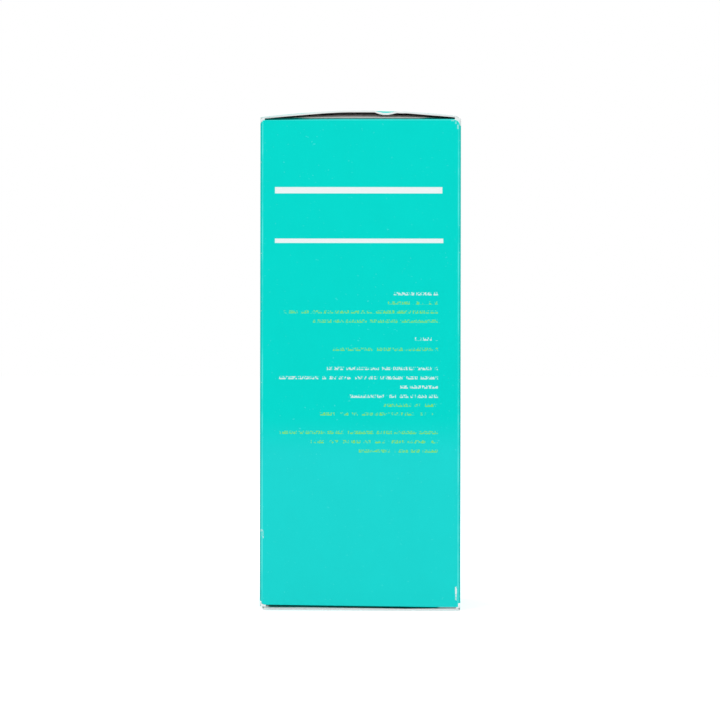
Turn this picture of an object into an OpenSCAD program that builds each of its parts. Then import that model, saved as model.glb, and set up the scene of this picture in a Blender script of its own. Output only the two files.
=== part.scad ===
// Folding carton with two tuck-in ends, and the bottle of mouthwash and leaflet that it holds.
// Millimetres, +Z up. The origin is the centre of the footprint, on the table.
// The front panel faces -Y. The top lid is hinged on the left panel and tucks in behind
// the right one. The bottom lid is hinged on the right panel and tucks in behind the left.

/* [Board] */
// Thickness of the carton board
board_t = 0.45; // [0.35:0.05:0.6]
// Outside radius of the four upright creases
crease_r = 0.9; // [0.7:0.05:1.4]
// Gap left in a crease that turns, between the two boards
crease_gap = 0.1; // [0.06:0.02:0.2]
// Thickness of the outer ply, which runs on over a crease that turns
fold_ply = 0.1; // [0.06:0.01:0.15]

/* [Carton] */
// Room between the bottle and the free edge of a tuck flap
side_clear = 0.454; // [0.3:0.002:4]
// Room between the bottle and the leaflet behind it
leaflet_clear = 1.33; // [0.5:0.01:4]
// Rounding of the free corners at the mouth, where a lid tucks in
mouth_corner_r = 2; // [0.5:0.1:4]
// Rounding of the panels' corners beside a lid's crease
hinge_corner_r = 1.3; // [0.3:0.1:2]
// Rounding of the boards' outer edges under the ply of a crease
fold_r = 0.2; // [0.1:0.05:0.3]

/* [Closures] */
// Height of the top lid's bow over its two creases
lid_bow = 1.82; // [1.2:0.02:3]
// How much higher the tuck crease of the top lid lies than its hinge crease
lid_tilt = 0.35; // [0:0.05:0.8]
// Length of a tuck flap, from its crease to its free edge
tuck_len = 13; // [10:0.5:16]
// Radius of the tuck flap's own curve
tuck_bend_r = 42; // [38:1:60]
// Rounding of the tuck flap's free corners
tuck_corner_r = 9; // [3:0.5:9]
// Length of the slit at each end of a tuck crease
slit_len = 6; // [3:0.5:10]
// Gap between the free edges of the front and back dust flaps
flap_part = 8; // [1:0.5:20]
// Length over which a top dust flap climbs to the bowed lid
flap_climb = 7; // [4:0.5:12]
// Rounding of the dust flaps' free corners
flap_corner_r = 3; // [1:0.5:6]

/* [Seam] */
// Width of the glue flap
glue_flap_w = 12; // [8:0.5:15]
// Thickness of the glue in the seam
glue_t = 0.1; // [0.05:0.01:0.15]

/* [Bottle] */
// Diameter of the bottle's body
bottle_d = 55; // [48:0.5:70]
// Height of the straight body, to the foot of the shoulder
body_h = 96; // [60:0.5:150]
// Height of the shoulder
shoulder_h = 21; // [12:0.5:35]
// Length of bare neck between the shoulder and the ledge
neck_bare = 3.1; // [1:0.1:10]
// Wall of the bottle
bottle_wall = 0.9; // [0.6:0.05:1.5]
// Rounding of the bottle's heel
heel_r = 4; // [2:0.25:7]
// Depth of the hollow under the base
push_up = 2.2; // [1:0.1:4]
// Outside radius of the neck, at the foot of the thread
neck_r = 12.6; // [9:0.1:16]
// Wall of the neck
neck_wall = 2.2; // [1.2:0.1:3]
// How far the ledge below the tamper band stands out past the cap
ledge_out = 1.2; // [0.5:0.1:2.5]
// Thickness of that ledge
ledge_t = 1.5; // [1:0.1:2.5]
// Depth of the mouthwash's surface below the foot of the shoulder
fill_drop = 3; // [1:0.5:40]

/* [Label] */
// Height of the foot of the label's panel over the bottle's base
label_foot = 16; // [10:0.5:25]
// Depth of that panel's head below the foot of the shoulder
label_head = 12; // [3:0.5:20]
// Depth of the panel in the bottle that the label lies in
label_recess = 0.4; // [0.25:0.05:0.6]
// Thickness of the label
label_t = 0.1; // [0.06:0.01:0.2]
// Part of the turn that the label covers
label_sweep = 340; // [200:1:355]

/* [Closure of the bottle] */
// Height of the cap
cap_h = 17.6; // [14:0.1:24]
// Thickness of the cap's wall behind its ribs
cap_wall = 1; // [0.8:0.05:1.6]
// Room in the cap for the thread
thread_room = 1.35; // [1.2:0.05:1.8]
// Thickness of the cap's top
cap_top_t = 1.2; // [0.8:0.1:2]
// Rounding of the cap's top edge
cap_edge_r = 1.6; // [0.5:0.1:2.5]
// Number of grip ribs round the cap
rib_count = 60; // [24:1:90]
// Depth of a grip rib
rib_depth = 0.35; // [0.2:0.05:0.5]
// Thickness of the liner in the cap
liner_t = 1; // [0.5:0.1:1.5]
// Height of the tamper band
band_h = 3.8; // [2.5:0.1:5]
// Lead of the thread, which the cap climbs in one turn
thread_pitch = 3; // [2.5:0.1:3.5]
// Turns that take the cap off
cap_turns = 1.5; // [1:0.25:2]

/* [Leaflet] */
// Distance from the leaflet to the left panel
leaflet_margin = 6; // [4:0.5:20]
// Height of the folded leaflet
leaflet_h = 78; // [40:1:110]
// Number of layers in the fold
leaflet_layers = 6; // [3:1:8]
// Thickness of the paper
paper_t = 0.12; // [0.08:0.01:0.16]
// Distance from one layer to the next
layer_pitch = 0.3; // [0.24:0.01:0.32]

/* [Hidden] */

// Clearances
under_gap = 0.5;       // bottom lid to the dust flaps over it
step_gap = 0.05;       // creases of the dust flaps to the top lid's underside
edge_gap = 0.05;       // cut edges of the lids to the front and back panels' inner faces
flap_gap = 0.25;       // top dust flaps to the lid over them
tuck_gap = 0.15;       // tuck flap to the panel that it slides behind
tuck_side_gap = 0.4;   // ends of a tuck flap to the glue flap
seat_gap = 0.2;        // bottle and leaflet to the flaps that they stand on
bottle_play = 3;       // rise that the closed carton leaves the bottle
head_clear = 0.3;      // raised and unscrewed cap to the top dust flaps
band_gap = 0.3;        // tamper band to the cap
liner_gap = 0.05;      // liner to the lip and to the cap
liquid_gap = 0.05;     // mouthwash to the wall
label_gap = 0.03;      // label to the bottle, where its adhesive is
leaflet_gap = 0.1;     // leaflet to the back panel
slit_w = 0.6;          // width of the slits that end a tuck crease
ply_step = 0.05;       // length over which a dust flap thins to its ply
overrun = 1;           // how far a cutting body passes what it cuts

// Small sizes of single pieces
flap_side_gap = 0.95;         // dust flap's root to the board at either side
flap_taper_hinge = 11;        // how far the free edge draws in on the hinge side
flap_taper_tuck = 3;          // how far it draws in on the tuck side
lid_corner_r = 1.2;           // corners of the lids
seam_end_inset = 1.6;         // ends of the glue flap, inside the panels' creases
seam_end_slope = 2.5;         // how much shorter the glue flap's free edge is at each end
glue_end_inset = 6;           // ends of the glue line, inside the glue flap's
glue_edge_inset = 1.5;        // glue line, from the free edge of the glue flap
back_edge_inset = 0.3;        // raw edge of the back panel, inside the right face
base_ring_w = 2;              // width of the flat ring that the bottle stands on
base_t = 1.4;                 // thickness of the bottle's base
bead_h = 1;                   // height of the bead on the neck
bead_out = 1.1;               // how far the bead stands out from the neck
band_out = 0.7;               // tamper band's bore, out from the neck
liner_out = 0.7;              // liner's edge, out from the neck
lip_r = 0.4;                  // rounding of the lip
band_lip = 0.5;               // chamfer of the tamper band's foot
crown_lip = 0.1;              // how far the cap's crown stands out past its ribs
crown_skirt = 0.4;            // height of the plain crown below the inside of the cap's top
leaflet_edge = 2;             // leaflet to the free edge of the glue flap
arc_steps = 8;                // straight steps in a quarter of a small arc
bow_steps = 28;               // straight steps along the top lid's bow
curve_steps = 16;             // straight steps along the shoulder

// The carton's plan follows from what it holds: the bottle, a tuck flap at either side of it,
// and the leaflet behind it
bottle_r = bottle_d / 2;
tuck_turn = tuck_len / tuck_bend_r * 180 / PI;
tuck_drop = tuck_bend_r * sin(tuck_turn);
tuck_lean = tuck_bend_r * (1 - cos(tuck_turn));
leaflet_t = (leaflet_layers - 1) * layer_pitch + paper_t;
half_w = bottle_r + side_clear + tuck_lean + board_t + tuck_gap + board_t;
half_d = bottle_r + leaflet_clear + leaflet_t + leaflet_gap + board_t;
mid_r = crease_r - board_t;
lid_step = board_t + step_gap;
ply_drop = fold_ply + crease_gap;
fold_root = board_t + crease_gap;
flap_len = half_d - flap_part / 2;

// Radii round the neck
bore_r = neck_r - neck_wall;
bead_r = neck_r + bead_out;
band_bore_r = neck_r + band_out;
cap_bore_r = neck_r + thread_room;
cap_wall_r = cap_bore_r + cap_wall;
cap_r = cap_wall_r + rib_depth + crown_lip;
ledge_r = cap_r + ledge_out;

// Heights, from the table up
flap_low_z = board_t + under_gap;
stand_z = flap_low_z + board_t + seat_gap;
shoulder_z = stand_z + body_h;
ledge_z = shoulder_z + shoulder_h + neck_bare + ledge_t;
cap_foot_z = ledge_z + band_h + band_gap;
cap_top_z = cap_foot_z + cap_h;
cap_roof_z = cap_top_z - cap_top_t;
liner_z = cap_roof_z - liner_gap - liner_t;
lip_z = liner_z - liner_gap;
cap_lift = cap_turns * thread_pitch;

// The top lid's bow is an arc from its hinge crease to its tuck crease
tuck_x = half_w - board_t - tuck_gap;
lid_run = half_w + tuck_x;
lid_chord = norm([lid_run, lid_tilt]);
bow_r = (lid_chord * lid_chord / 4 + lid_bow * lid_bow) / (2 * lid_bow);
chord_tilt = atan2(lid_tilt, lid_run);
bow_drop = bow_r - lid_bow;
bow_x = (tuck_x - half_w) / 2 + bow_drop * sin(chord_tilt);
bow_z = lid_tilt / 2 - bow_drop * cos(chord_tilt);
bow_half = asin(lid_chord / 2 / bow_r);

// Height of the lid's upper face over its hinge crease, at x
function lid_rise(x) = bow_z + sqrt(bow_r * bow_r - (x - bow_x) * (x - bow_x));

// The flaps over the cap leave room for it raised and unscrewed
cap_flap_rise = lid_step + min(lid_rise(-cap_r), lid_rise(cap_r)) - 2 * board_t - flap_gap;
flap_top_z = cap_top_z + bottle_play + cap_lift + head_clear - cap_flap_rise;
hinge_z = flap_top_z + lid_step;
tuck_z = hinge_z + lid_tilt;
panel_low_z = flap_low_z + ply_drop;
panel_top_z = flap_top_z - ply_drop;

tuck_half = half_d - 2 * board_t - glue_t - tuck_side_gap;
lid_half = half_d - board_t - edge_gap;

// Points of an arc about c, from angle a to angle b
function arc(c, r, a, b, steps) =
    [for (i = [0 : steps]) c + r * [cos(a + (b - a) * i / steps), sin(a + (b - a) * i / steps)]];

// Outline of a panel with its own radius at each corner: low left, low right, high right, high left
function panel_outline(x0, x1, z0, z1, r) = concat(
    arc([x0 + r[0], z0 + r[0]], r[0], 180, 270, arc_steps),
    arc([x1 - r[1], z0 + r[1]], r[1], 270, 360, arc_steps),
    arc([x1 - r[2], z1 - r[2]], r[2], 0, 90, arc_steps),
    arc([x0 + r[3], z1 - r[3]], r[3], 90, 180, arc_steps));

function reversed(list) = [for (i = [len(list) - 1 : -1 : 0]) list[i]];

// A strip of even thickness bent along an arc, as a closed outline
function bent_strip(c, r, t, a, b, steps) =
    concat(arc(c, r, a, b, steps), arc(c, r - t, b, a, steps));

// Raises an outline drawn in X and Z along Y, between y0 and y1
module across_y(y0, y1) {
    translate([0, y1, 0])
        rotate([90, 0, 0])
            linear_extrude(y1 - y0)
                children();
}

// Raises an outline drawn in Y and Z along X, between x0 and x1
module across_x(x0, x1) {
    translate([x0, 0, 0])
        rotate([90, 0, 90])
            linear_extrude(x1 - x0)
                children();
}

// Front panel: both of its upright creases belong to it
module front_panel() {
    color("mediumturquoise")
        intersection() {
            translate([0, 0, panel_low_z])
                linear_extrude(panel_top_z - panel_low_z)
                    polygon(concat(
                        arc([crease_r - half_w, crease_r - half_d], crease_r, 180, 270, arc_steps),
                        arc([half_w - crease_r, crease_r - half_d], crease_r, 270, 360, arc_steps),
                        arc([half_w - crease_r, crease_r - half_d], mid_r, 360, 270, arc_steps),
                        arc([crease_r - half_w, crease_r - half_d], mid_r, 270, 180, arc_steps)));
            across_y(-half_d - overrun, crease_r - half_d + overrun)
                polygon(panel_outline(-half_w, half_w, panel_low_z, panel_top_z,
                    [mouth_corner_r, hinge_corner_r, mouth_corner_r, hinge_corner_r]));
            across_x(-half_w - overrun, half_w + overrun)
                polygon(panel_outline(-half_d, overrun - half_d + crease_r, panel_low_z, panel_top_z,
                    [fold_r, 0, 0, fold_r]));
        }
}

// Back panel: one upright crease, and a raw edge that covers the glue flap
module back_panel() {
    color("mediumturquoise")
        intersection() {
            translate([0, 0, panel_low_z])
                linear_extrude(panel_top_z - panel_low_z)
                    polygon(concat(
                        [[half_w - back_edge_inset, half_d - board_t],
                            [half_w - back_edge_inset, half_d]],
                        arc([crease_r - half_w, half_d - crease_r], crease_r, 90, 180, arc_steps),
                        arc([crease_r - half_w, half_d - crease_r], mid_r, 180, 90, arc_steps)));
            across_y(half_d - crease_r - overrun, half_d + overrun)
                polygon(panel_outline(-half_w, half_w, panel_low_z, panel_top_z,
                    [mouth_corner_r, hinge_corner_r, mouth_corner_r, hinge_corner_r]));
            across_x(-half_w - overrun, half_w + overrun)
                polygon(panel_outline(half_d - crease_r - overrun, half_d, panel_low_z, panel_top_z,
                    [0, fold_r, fold_r, 0]));
        }
}

// Left panel: hinge crease of the top lid above, mouth of the bottom tuck flap below
module left_panel() {
    color("mediumturquoise")
        intersection() {
            across_x(-half_w, board_t - half_w)
                polygon(panel_outline(crease_r - half_d, half_d - crease_r,
                    flap_low_z, hinge_z - ply_drop,
                    [mouth_corner_r, mouth_corner_r, hinge_corner_r, hinge_corner_r]));
            across_y(-half_d, half_d)
                polygon(panel_outline(-half_w, overrun - half_w, -overrun, hinge_z - ply_drop,
                    [0, 0, 0, fold_r]));
        }
}

// Right panel: mouth of the top tuck flap above, hinge crease of the bottom lid below
module right_panel() {
    color("mediumturquoise")
        intersection() {
            across_x(half_w - board_t, half_w)
                polygon(panel_outline(crease_r - half_d, half_d - crease_r - board_t - glue_t,
                    ply_drop, flap_top_z,
                    [hinge_corner_r, hinge_corner_r, mouth_corner_r, mouth_corner_r]));
            across_y(-half_d, half_d)
                polygon(panel_outline(half_w - overrun, half_w, ply_drop, flap_top_z + overrun,
                    [0, fold_r, 0, 0]));
        }
}

// Glue flap: folded in from the right panel, behind the back panel's raw edge
module glue_flap() {
    face_y = half_d - board_t - glue_t;
    low = flap_low_z + board_t + seam_end_inset;
    high = flap_top_z - board_t - seam_end_inset;
    color("mediumturquoise")
        intersection() {
            translate([0, 0, low])
                linear_extrude(high - low)
                    polygon(concat(
                        arc([half_w - crease_r, face_y - crease_r], crease_r, 0, 90, arc_steps),
                        [[half_w - glue_flap_w, face_y], [half_w - glue_flap_w, face_y - board_t]],
                        arc([half_w - crease_r, face_y - crease_r], mid_r, 90, 0, arc_steps)));
            across_y(face_y - crease_r - overrun, face_y + overrun)
                polygon([
                    [half_w - glue_flap_w, low + seam_end_slope],
                    [half_w - crease_r, low],
                    [half_w, low],
                    [half_w, high],
                    [half_w - crease_r, high],
                    [half_w - glue_flap_w, high - seam_end_slope]]);
        }
}

// Line of glue between the glue flap and the back panel
module seam_glue() {
    low = flap_low_z + seam_end_inset + glue_end_inset;
    high = flap_top_z - seam_end_inset - glue_end_inset;
    color("ivory")
        translate([half_w - glue_flap_w + glue_edge_inset, half_d - board_t - glue_t, low])
            cube([glue_flap_w - crease_r - 2 * glue_edge_inset, glue_t, high - low]);
}

// Plan of a lid that is hinged at -X. Its ply runs on over the two creases, but not over
// the slits at the tuck crease's ends
module lid_plan(low, high) {
    free_x = tuck_x - fold_root;
    slit_y = tuck_half - slit_len;
    translate([0, 0, low])
        linear_extrude(high - low)
            polygon(concat(
                [[-half_w - overrun, lid_corner_r - lid_half]],
                arc([lid_corner_r - half_w, lid_corner_r - lid_half], lid_corner_r,
                    180, 270, arc_steps),
                arc([free_x - lid_corner_r, lid_corner_r - lid_half], lid_corner_r, 270, 360, arc_steps),
                [[free_x, -slit_y], [tuck_x + overrun, -slit_y],
                    [tuck_x + overrun, slit_y], [free_x, slit_y]],
                arc([free_x - lid_corner_r, lid_half - lid_corner_r], lid_corner_r, 0, 90, arc_steps),
                arc([lid_corner_r - half_w, lid_half - lid_corner_r], lid_corner_r,
                    90, 180, arc_steps),
                [[-half_w - overrun, lid_half - lid_corner_r]]));
}

// Top lid: bowed, because it is a little long for its mouth
module top_lid() {
    centre = [bow_x, hinge_z + bow_z];
    trim = fold_root / bow_r * 180 / PI;
    from = 90 + chord_tilt + bow_half;
    to = 90 + chord_tilt - bow_half;
    color("mediumturquoise")
        intersection() {
            across_y(-lid_half - overrun, lid_half + overrun)
                polygon(concat(
                    arc(centre, bow_r, from, to, bow_steps),
                    arc(centre, bow_r - fold_ply, to, to + trim, 1),
                    arc(centre, bow_r - board_t, to + trim, from - trim, bow_steps),
                    arc(centre, bow_r - fold_ply, from - trim, from, 1)));
            lid_plan(hinge_z - board_t - overrun, hinge_z + lid_bow + lid_tilt + overrun);
        }
}

// A tuck flap, in its place at the top: curved inwards, with round free corners and slit ends
module tuck_flap() {
    color("mediumturquoise")
        intersection() {
            across_y(-tuck_half, tuck_half)
                polygon(bent_strip([tuck_x - tuck_bend_r, 0], tuck_bend_r, board_t,
                    0, -tuck_turn, arc_steps));
            across_y(-half_d, half_d)
                polygon(panel_outline(tuck_x - tuck_len, tuck_x, -tuck_len, -ply_drop,
                    [0, 0, fold_r, 0]));
            across_x(tuck_x - tuck_len, tuck_x + overrun)
                polygon(concat(
                    [[tuck_half, -slit_w], [tuck_half - slit_len, -slit_w], [tuck_half - slit_len, 0],
                        [slit_len - tuck_half, 0], [slit_len - tuck_half, -slit_w], [-tuck_half, -slit_w]],
                    arc([tuck_corner_r - tuck_half, tuck_corner_r - tuck_drop], tuck_corner_r,
                        180, 270, arc_steps),
                    arc([tuck_half - tuck_corner_r, tuck_corner_r - tuck_drop], tuck_corner_r,
                        270, 360, arc_steps)));
        }
}

module top_tuck_flap() {
    translate([0, 0, tuck_z])
        tuck_flap();
}

// Sides of a dust flap at the distance s from its crease, for a lid hinged at -X
function corner_draw(s) = let (into = max(0, s - flap_len + flap_corner_r))
    flap_corner_r - sqrt(max(0, flap_corner_r * flap_corner_r - into * into));
function flap_hinge_side(s) =
    flap_side_gap + crease_gap + board_t - half_w + flap_taper_hinge * s / flap_len + corner_draw(s);
function flap_tuck_side(s) =
    tuck_x - board_t - flap_side_gap - flap_taper_tuck * s / flap_len - corner_draw(s);

// Height of a top dust flap's upper face over its crease: it climbs to the lid and then follows it
function flap_rise(x, s) =
    sin(90 * min(1, s / flap_climb)) * (lid_step + lid_rise(x) - board_t - flap_gap);

climb_steps = 8;
flat_steps = 6;
across_steps = 20;
thick_root = fold_root + ply_step;
flap_rows = concat(
    [0, fold_root],
    [for (i = [0 : climb_steps]) thick_root + (flap_climb - thick_root) * i / climb_steps],
    [for (i = [1 : flat_steps]) flap_climb + (flap_len - flap_corner_r - flap_climb) * i / flat_steps],
    [for (i = [1 : arc_steps]) flap_len - flap_corner_r + flap_corner_r * sin(90 * i / arc_steps)]);

// The front one of the two top dust flaps
module bowed_dust_flap() {
    across = across_steps + 1;
    rows = len(flap_rows);
    grid = [for (s = flap_rows) for (i = [0 : across_steps])
        let (x = flap_hinge_side(s) + (flap_tuck_side(s) - flap_hinge_side(s)) * i / across_steps)
        [x, s - half_d, flap_top_z + flap_rise(x, s)]];
    under = [for (p = grid) p - [0, 0, p[1] + half_d < thick_root ? fold_ply : board_t]];
    count = len(grid);
    cells = [for (j = [0 : rows - 2]) for (i = [0 : across_steps - 1]) j * across + i];
    long_edge = [for (i = [0 : across_steps - 1]) i];
    short_edge = [for (j = [0 : rows - 2]) j * across];
    last_row = (rows - 1) * across;
    polyhedron(concat(grid, under), concat(
        [for (c = cells) [c, c + across, c + across + 1]],
        [for (c = cells) [c, c + across + 1, c + 1]],
        [for (c = cells) [count + c, count + c + across + 1, count + c + across]],
        [for (c = cells) [count + c, count + c + 1, count + c + across + 1]],
        [for (c = long_edge) [c, c + 1, count + c + 1]],
        [for (c = long_edge) [c, count + c + 1, count + c]],
        [for (c = long_edge) [last_row + c, count + last_row + c + 1, last_row + c + 1]],
        [for (c = long_edge) [last_row + c, count + last_row + c, count + last_row + c + 1]],
        [for (c = short_edge) [c, count + c + across, c + across]],
        [for (c = short_edge) [c, count + c, count + c + across]],
        [for (c = short_edge) let (e = c + across_steps) [e, e + across, count + e + across]],
        [for (c = short_edge) let (e = c + across_steps) [e, count + e + across, count + e]]));
}

module top_front_dust_flap() {
    color("white")
        bowed_dust_flap();
}

module top_back_dust_flap() {
    color("white")
        mirror([0, 1, 0])
            bowed_dust_flap();
}

// Bottom lid: flat, pressed so by the bottle's weight
module bottom_lid() {
    color("mediumturquoise")
        intersection() {
            across_y(-lid_half - overrun, lid_half + overrun)
                polygon([
                    [-tuck_x, 0],
                    [half_w, 0],
                    [half_w, fold_ply],
                    [half_w - fold_root, fold_ply],
                    [half_w - fold_root, board_t],
                    [fold_root - tuck_x, board_t],
                    [fold_root - tuck_x, fold_ply],
                    [-tuck_x, fold_ply]]);
            mirror([1, 0, 0])
                lid_plan(-overrun, board_t + overrun);
        }
}

module bottom_tuck_flap() {
    rotate([0, 180, 0])
        tuck_flap();
}

// The front one of the two flat bottom dust flaps, for a lid hinged at +X
module flat_dust_flap() {
    rows = concat([0],
        [for (i = [0 : arc_steps]) flap_len - flap_corner_r + flap_corner_r * sin(90 * i / arc_steps)]);
    intersection() {
        translate([0, -half_d, flap_low_z - overrun])
            linear_extrude(board_t + 2 * overrun)
                polygon(concat(
                    [for (s = rows) [-flap_tuck_side(s), s]],
                    [for (s = reversed(rows)) [-flap_hinge_side(s), s]]));
        across_x(-half_w, half_w)
            polygon([
                [-half_d - overrun, flap_low_z],
                [0, flap_low_z],
                [0, flap_low_z + board_t],
                [fold_root - half_d, flap_low_z + board_t],
                [fold_root - half_d, flap_low_z + fold_ply],
                [-half_d - overrun, flap_low_z + fold_ply]]);
    }
}

module bottom_front_dust_flap() {
    color("white")
        flat_dust_flap();
}

module bottom_back_dust_flap() {
    color("white")
        mirror([0, 1, 0])
            flat_dust_flap();
}

// Right half of the shoulder, a smooth S from radius a to radius b
function shoulder(a, b, from, rise) =
    [for (i = [0 : curve_steps]) [(a + b) / 2 + (a - b) / 2 * cos(180 * i / curve_steps),
        from + rise * i / curve_steps]];

inner_r = bottle_r - bottle_wall;
inner_heel_r = heel_r - bottle_wall;
inner_floor_z = stand_z + base_t;

// Bottle: hollow, with a heel, a label panel, a shoulder, a ledge and a bead below the thread
module bottle() {
    panel_r = bottle_r - label_recess;
    panel_low = stand_z + label_foot;
    panel_high = shoulder_z - label_head;
    bead_z = cap_foot_z + band_gap;
    color("saddlebrown")
        rotate_extrude($fn = 128)
            polygon(concat(
                [[0, stand_z + push_up],
                    [(bottle_r - heel_r - base_ring_w) / 2, stand_z + push_up * 3 / 4],
                    [bottle_r - heel_r - base_ring_w, stand_z]],
                arc([bottle_r - heel_r, stand_z + heel_r], heel_r, 270, 360, arc_steps),
                [[bottle_r, panel_low - label_recess], [panel_r, panel_low],
                    [panel_r, panel_high], [bottle_r, panel_high + label_recess]],
                shoulder(bottle_r, neck_r, shoulder_z, shoulder_h),
                [[neck_r, ledge_z - ledge_t], [ledge_r, ledge_z - ledge_t * 2 / 3], [ledge_r, ledge_z],
                    [neck_r, ledge_z], [neck_r, bead_z - bead_h / 2], [bead_r, bead_z],
                    [bead_r, bead_z + bead_h / 2], [neck_r, bead_z + bead_h]],
                arc([neck_r - lip_r, lip_z - lip_r], lip_r, 0, 90, arc_steps),
                [[bore_r, lip_z]],
                reversed(shoulder(inner_r, bore_r, shoulder_z, shoulder_h)),
                arc([inner_r - inner_heel_r, inner_floor_z + inner_heel_r], inner_heel_r,
                    0, -90, arc_steps),
                [[bottle_r - heel_r - base_ring_w, inner_floor_z],
                    [(bottle_r - heel_r - base_ring_w) / 2, inner_floor_z + push_up * 3 / 4],
                    [0, inner_floor_z + push_up]]));
}

// Mouthwash: fills the bottle to just below its shoulder
module mouthwash() {
    r = inner_r - liquid_gap;
    low = inner_floor_z + liquid_gap;
    color("darkgoldenrod")
        rotate_extrude($fn = 128)
            polygon(concat(
                [[0, low + push_up],
                    [(bottle_r - heel_r - base_ring_w) / 2, low + push_up * 3 / 4],
                    [bottle_r - heel_r - base_ring_w, low]],
                arc([r - inner_heel_r, low + inner_heel_r], inner_heel_r, -90, 0, arc_steps),
                [[r, shoulder_z - fill_drop], [0, shoulder_z - fill_drop]]));
}

// Label: wrapped round the bottle's label panel, with its open seam at the back
module bottle_label() {
    color("white")
        rotate([0, 0, 90 + (360 - label_sweep) / 2])
            rotate_extrude(angle = label_sweep, $fn = 128)
                translate([bottle_r - label_recess + label_gap, stand_z + label_foot + label_recess])
                    square([label_t, body_h - label_foot - label_head - 2 * label_recess]);
}

// Tamper band: stays on the neck, under the bead, when the cap is unscrewed
module tamper_band() {
    color("white")
        rotate_extrude($fn = 128)
            polygon([
                [band_bore_r, ledge_z],
                [cap_wall_r + crown_lip - band_lip, ledge_z],
                [cap_wall_r + crown_lip, ledge_z + band_lip],
                [cap_wall_r + crown_lip, ledge_z + band_h],
                [band_bore_r, ledge_z + band_h]]);
}

// Liner: the soft disc that the cap presses on the lip
module cap_liner() {
    color("gainsboro")
        translate([0, 0, liner_z])
            cylinder(r = neck_r + liner_out, h = liner_t, $fn = 128);
}

// Outline of the cap's ribbed wall
rib_top_share = 0.3;
rib_foot_share = 0.55;
function rib_outline() = [for (i = [0 : rib_count - 1]) each [
    for (p = [[-rib_foot_share, -rib_depth], [-rib_top_share, 0], [rib_top_share, 0],
        [rib_foot_share, -rib_depth]])
        (cap_r - crown_lip + p[1])
            * [cos(360 / rib_count * (i + p[0] / 2)), sin(360 / rib_count * (i + p[0] / 2))]]];

// Cap: a ribbed wall that runs on into a plain rounded crown, and a bore that clears the thread
module cap() {
    crown_z = cap_top_z - max(cap_edge_r, cap_top_t + crown_skirt) - rib_depth;
    crown_r = cap_r - rib_depth;
    color("white")
        difference() {
            union() {
                translate([0, 0, cap_foot_z])
                    linear_extrude(crown_z + crown_lip / 2 - cap_foot_z)
                        polygon(rib_outline());
                rotate_extrude($fn = 128)
                    polygon(concat(
                        [[0, crown_z], [cap_r, crown_z], [crown_r, crown_z + rib_depth]],
                        arc([crown_r - cap_edge_r, cap_top_z - cap_edge_r], cap_edge_r, 0, 90, arc_steps),
                        [[0, cap_top_z]]));
            }
            translate([0, 0, cap_foot_z - overrun])
                cylinder(r = cap_bore_r, h = cap_roof_z - cap_foot_z + overrun, $fn = 128);
        }
}

// Leaflet: one sheet folded to and fro, standing between the bottle and the back panel
leaflet_back_y = half_d - board_t - leaflet_gap;
leaflet_right_x = half_w - glue_flap_w - leaflet_edge;
turn_r = layer_pitch / 2;
function fold_run(k) = let (
        y = leaflet_back_y - paper_t / 2 - k * layer_pitch,
        right = leaflet_right_x - turn_r - paper_t / 2,
        left = leaflet_margin + board_t - half_w + turn_r + paper_t / 2,
        there = k % 2 == 0)
    concat(k == 0 ? [[left, y]] : [],
        k < leaflet_layers - 1
            ? arc([there ? right : left, y - turn_r], turn_r, 90, there ? -90 : 270, arc_steps)
            : [[there ? right : left, y]]);
function side_of(line, i, w) = let (
        a = line[max(0, i - 1)],
        b = line[min(len(line) - 1, i + 1)],
        d = (b - a) / norm(b - a))
    line[i] + w * [-d[1], d[0]];

module leaflet() {
    line = [for (k = [0 : leaflet_layers - 1]) each fold_run(k)];
    color("white")
        translate([0, 0, stand_z])
            linear_extrude(leaflet_h)
                polygon(concat(
                    [for (i = [0 : len(line) - 1]) side_of(line, i, paper_t / 2)],
                    [for (i = [len(line) - 1 : -1 : 0]) side_of(line, i, -paper_t / 2)]));
}

front_panel();
back_panel();
left_panel();
right_panel();
glue_flap();
seam_glue();
top_lid();
top_tuck_flap();
top_front_dust_flap();
top_back_dust_flap();
bottom_lid();
bottom_tuck_flap();
bottom_front_dust_flap();
bottom_back_dust_flap();
bottle();
mouthwash();
bottle_label();
tamper_band();
cap_liner();
cap();
leaflet();
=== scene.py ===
"""Looks of a carton of mouthwash: printed board, bottle and leaflet, and the view in the photograph."""
import math

import bmesh
import bpy
from mathutils import Matrix, Vector


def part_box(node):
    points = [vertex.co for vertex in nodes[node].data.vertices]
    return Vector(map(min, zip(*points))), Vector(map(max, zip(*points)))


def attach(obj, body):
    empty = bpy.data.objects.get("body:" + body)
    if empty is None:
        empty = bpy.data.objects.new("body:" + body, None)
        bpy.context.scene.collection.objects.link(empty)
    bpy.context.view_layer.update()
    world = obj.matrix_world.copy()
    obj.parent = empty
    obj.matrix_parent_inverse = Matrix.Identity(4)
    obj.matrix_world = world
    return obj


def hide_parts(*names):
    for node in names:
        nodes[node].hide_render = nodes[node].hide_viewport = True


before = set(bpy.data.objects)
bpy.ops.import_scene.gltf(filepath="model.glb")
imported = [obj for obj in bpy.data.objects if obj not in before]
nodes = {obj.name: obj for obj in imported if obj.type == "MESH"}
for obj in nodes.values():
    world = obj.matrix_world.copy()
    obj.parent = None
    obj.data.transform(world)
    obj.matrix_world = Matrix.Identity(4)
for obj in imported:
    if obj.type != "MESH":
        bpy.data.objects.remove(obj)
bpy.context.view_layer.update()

MM = 0.001

# Sizes of the carton in millimetres, from the frame and as in the part's source
HALF_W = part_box("front_panel")[1].x / MM
HALF_D = -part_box("front_panel")[0].y / MM
BOARD = 0.45
CREASE_R = 0.9
# a crease that turns: its outer ply, how far only that ply runs, and the rounding of the edges under it
PLY = 0.1
ROOT = 0.55
FOLD_R = 0.2
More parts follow.
